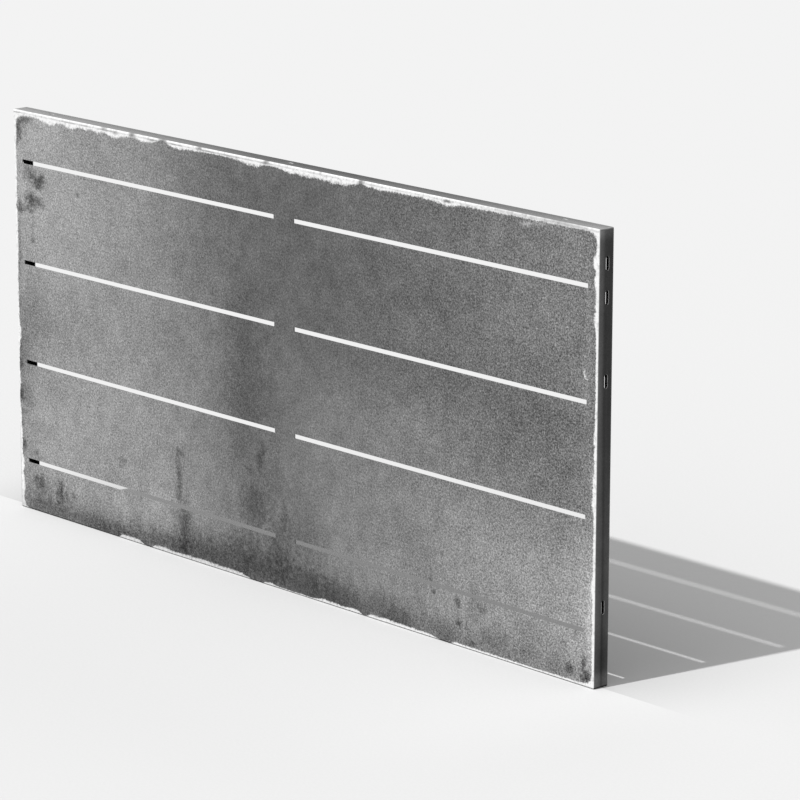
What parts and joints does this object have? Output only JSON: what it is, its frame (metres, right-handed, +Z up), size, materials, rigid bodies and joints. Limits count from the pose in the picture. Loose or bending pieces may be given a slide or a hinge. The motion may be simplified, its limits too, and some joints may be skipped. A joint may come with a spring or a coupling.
{
  "type": "slotted steel screen panel",
  "caption": "Long folded steel screen panel with narrow horizontal slots across its face and bolt slots in its flanges.",
  "frame": {"origin": "centre of the bottom flange's underside", "axes": "+X along the panel to its right end, +Y from the slotted face towards the open back, +Z up"},
  "size_m": [1.92, 0.041, 0.96],
  "materials": {
    "weathering_steel": "raw weathering steel sheet, mottled grey scale with rub-bright edges",
    "ground_weld": "corner weld ground back to the sheet"
  },
  "bodies": {
    "root": {"slotted_face": "weathering_steel", "top_flange": "weathering_steel", "bottom_flange": "weathering_steel", "left_flange": "weathering_steel", "right_flange": "weathering_steel", "top_return_lip": "weathering_steel", "bottom_return_lip": "weathering_steel", "left_return_lip": "weathering_steel", "right_return_lip": "weathering_steel", "top_left_corner_weld": "ground_weld", "top_right_corner_weld": "ground_weld", "bottom_left_corner_weld": "ground_weld", "bottom_right_corner_weld": "ground_weld"}
  },
  "joints": []
}
